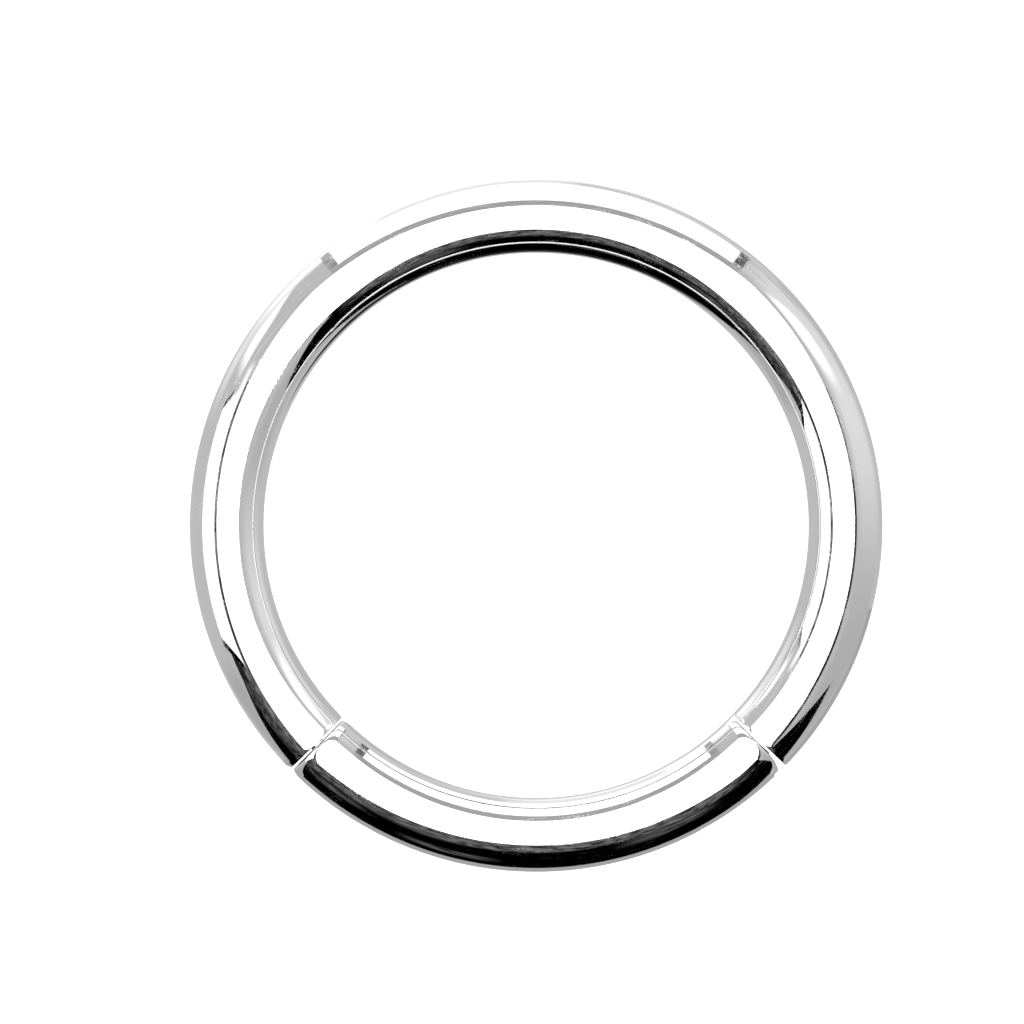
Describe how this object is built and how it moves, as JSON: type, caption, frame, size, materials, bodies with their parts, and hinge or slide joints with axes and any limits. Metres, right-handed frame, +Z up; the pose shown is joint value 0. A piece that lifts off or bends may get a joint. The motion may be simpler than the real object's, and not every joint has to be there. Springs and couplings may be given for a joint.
{
  "type": "hinged segment ring",
  "caption": "Hinged ring of round polished steel wire for a piercing: a short arc swings open on a flush pin and snaps shut on a small ball.",
  "frame": {"origin": "on the surface that the ring lies on, under the middle of the ring", "axes": "+Z up along the ring's axis, -Y towards the middle of the hinged segment, +X towards the side where the hinge is"},
  "size_m": [0.0152, 0.0152, 0.0016],
  "materials": {
    "polished_steel": "mirror-polished surgical steel"
  },
  "bodies": {
    "ring": {"main_ring": "polished_steel"},
    "segment": {"hinged_segment": "polished_steel", "hinge_pin": "polished_steel", "catch_ball": "polished_steel"}
  },
  "joints": [
    {"name": "segment_hinge", "type": "hinge", "parent": "ring", "child": "segment", "pos_m": [0.00457, -0.00557, 0.00081], "axis": [0, 0, 1], "range_deg": [0, 130]}
  ]
}
